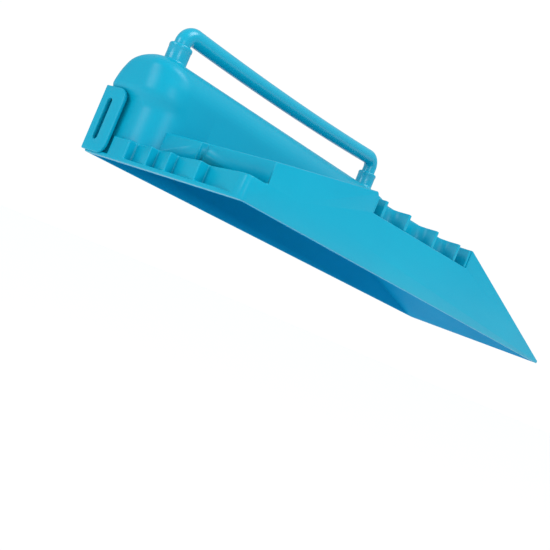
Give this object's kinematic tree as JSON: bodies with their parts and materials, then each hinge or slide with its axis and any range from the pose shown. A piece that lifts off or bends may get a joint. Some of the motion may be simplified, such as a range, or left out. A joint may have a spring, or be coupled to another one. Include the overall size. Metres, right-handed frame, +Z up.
{
  "type": "hand mould",
  "caption": "Open-bottomed blue plastic hand mould with a stepped end, a ramped tip, a round ridge along one side and a tubular handle, pressed on damp sand or mortar",
  "frame": {"origin": "centre of the rim's plane, at the middle of the overall length and width, where the tool rests rim-down", "axes": "+X along the length from the stepped end to the thin tip, +Y across to the ridge and handle side, +Z up away from the rim"},
  "size_m": [0.452, 0.14, 0.1042],
  "materials": {
    "shell_plastic": "satin injection-moulded",
    "liner_plastic": "satin injection-moulded",
    "handle_plastic": "gloss injection-moulded",
    "zinc_steel": "bright zinc plate"
  },
  "bodies": {
    "root": {"outer_shell": "shell_plastic", "inner_liner": "liner_plastic", "grip_comb": "shell_plastic", "end_tab": "shell_plastic", "handle_bar": "handle_plastic", "left_collar": "handle_plastic", "right_collar": "handle_plastic", "handle_screws": "zinc_steel", "screw_washers": "zinc_steel"}
  },
  "joints": []
}
